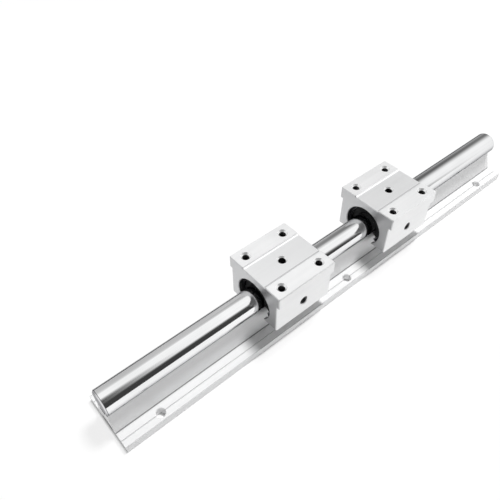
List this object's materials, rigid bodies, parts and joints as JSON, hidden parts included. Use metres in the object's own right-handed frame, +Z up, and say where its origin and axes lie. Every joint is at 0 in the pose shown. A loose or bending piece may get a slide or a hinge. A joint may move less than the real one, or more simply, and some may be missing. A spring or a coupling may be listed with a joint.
{
  "type": "supported round rail",
  "caption": "Round steel shaft on a flanged aluminium support, with open pillow-block bearing carriages that slide along it.",
  "frame": {"origin": "under the middle of the rail, on the underside of its base", "axes": "+X along the rail, +Y across it, away from the side holes of the carriages, +Z up"},
  "size_m": [0.35, 0.045, 0.045],
  "materials": {
    "rail_aluminium": "extruded, satin",
    "shaft_steel": "ground and polished to a mirror",
    "black_steel": "black oxide",
    "block_aluminium": "milled, satin anodised",
    "bearing_steel": "ground",
    "retainer_plastic": "moulded",
    "seal_rubber": "moulded"
  },
  "bodies": {
    "rail": {"support_rail": "rail_aluminium", "round_shaft": "shaft_steel", "shaft_screw_1": "black_steel", "shaft_screw_2": "black_steel", "shaft_screw_3": "black_steel"},
    "carriage_a": {"carriage_a_block": "block_aluminium", "carriage_a_sleeve": "bearing_steel", "carriage_a_retainer": "retainer_plastic", "carriage_a_front_seal": "seal_rubber", "carriage_a_back_seal": "seal_rubber", "carriage_a_front_ring": "black_steel", "carriage_a_back_ring": "black_steel", "carriage_a_grub_screw": "black_steel"},
    "carriage_b": {"carriage_b_block": "block_aluminium", "carriage_b_sleeve": "bearing_steel", "carriage_b_retainer": "retainer_plastic", "carriage_b_front_seal": "seal_rubber", "carriage_b_back_seal": "seal_rubber", "carriage_b_front_ring": "black_steel", "carriage_b_back_ring": "black_steel", "carriage_b_grub_screw": "black_steel"}
  },
  "joints": [
    {"name": "carriage_a_slide", "type": "slide", "parent": "rail", "child": "carriage_a", "axis": [1, 0, 0], "range_m": [-0.1055, 0.026]},
    {"name": "carriage_b_slide", "type": "slide", "parent": "rail", "child": "carriage_b", "axis": [1, 0, 0], "range_m": [-0.026, 0.1015]}
  ]
}
